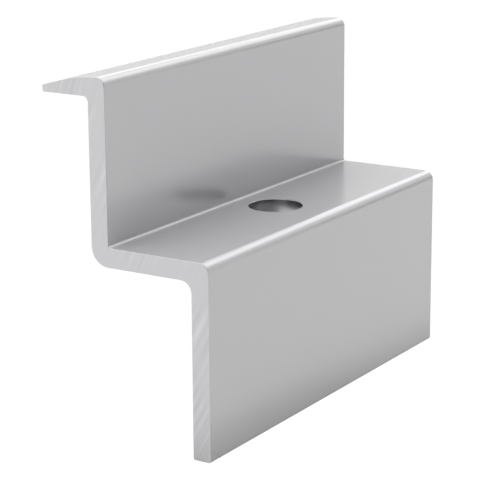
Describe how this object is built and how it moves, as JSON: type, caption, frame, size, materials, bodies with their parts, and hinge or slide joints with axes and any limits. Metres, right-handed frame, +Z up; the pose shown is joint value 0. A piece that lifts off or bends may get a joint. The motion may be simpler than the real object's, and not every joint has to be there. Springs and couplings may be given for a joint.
{
  "type": "solar end clamp",
  "caption": "Extruded aluminium Z section end clamp for a solar module: tapered lip over the frame, upright, drilled web and a leg that stands on the rail.",
  "frame": {"origin": "axis of the bolt hole, on the top face of the web where the bolt head bears", "axes": "+X from the module to the leg, +Y along the extrusion, +Z up the bolt, away from the rail"},
  "size_m": [0.0221, 0.0538, 0.0423],
  "materials": {
    "extruded_aluminium": "satin extruded surface with saw-cut ends"
  },
  "bodies": {
    "root": {"clamp_profile": "extruded_aluminium"}
  },
  "joints": []
}
